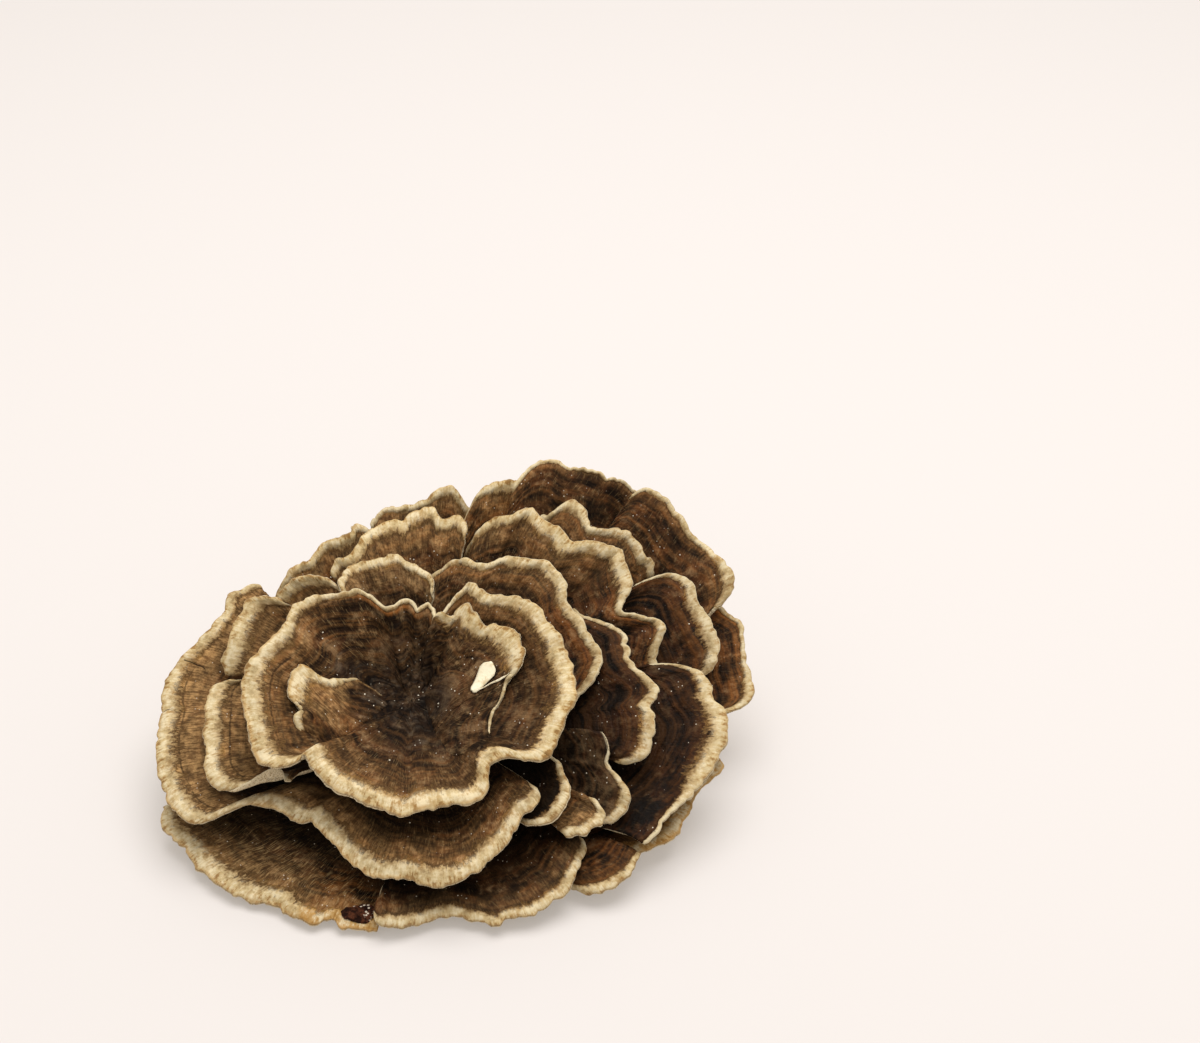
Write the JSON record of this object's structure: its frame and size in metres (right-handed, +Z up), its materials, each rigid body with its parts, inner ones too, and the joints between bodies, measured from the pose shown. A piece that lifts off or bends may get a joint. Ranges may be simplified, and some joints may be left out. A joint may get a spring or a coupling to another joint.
{
  "type": "turkey tail fungus",
  "caption": "Dried rosette of thin, wavy, overlapping dark brown caps with pale margins, grown from one woody foot that is cut off flat below.",
  "frame": {"origin": "middle of the foot's flat cut face, on the surface that the fungus rests on", "axes": "+Z up from the cut face, +X along the rosette's longest extent, +Y towards the high rear caps"},
  "size_m": [0.12, 0.0896, 0.0511],
  "materials": {
    "cap": "matte, velvety",
    "lobe": "matte, velvety",
    "foot": "rough"
  },
  "bodies": {
    "root": {"back_cap_centre": "cap", "back_cap_inner_left": "cap", "back_cap_inner_right": "cap", "back_cap_left": "cap", "back_cap_right": "cap", "bottom_cap_front": "cap", "bottom_cap_left": "cap", "bottom_cap_right": "cap", "crown_cap": "cap", "crown_lobe_left": "lobe", "crown_lobe_right": "lobe", "foot": "foot", "left_cap_back": "cap", "left_cap_lower": "cap", "left_cap_upper": "cap", "left_front_cap": "cap", "outer_cap_back": "cap", "outer_cap_left": "cap", "rear_cap_centre": "cap", "rear_cap_left": "cap", "rear_cap_right": "cap", "rear_cap_side": "cap", "right_cap_inner": "cap", "right_cap_large": "cap", "right_cap_upper": "cap", "right_front_cap": "cap", "small_cap_low": "cap", "small_cap_middle": "cap", "small_curl_cap": "cap"}
  },
  "joints": []
}
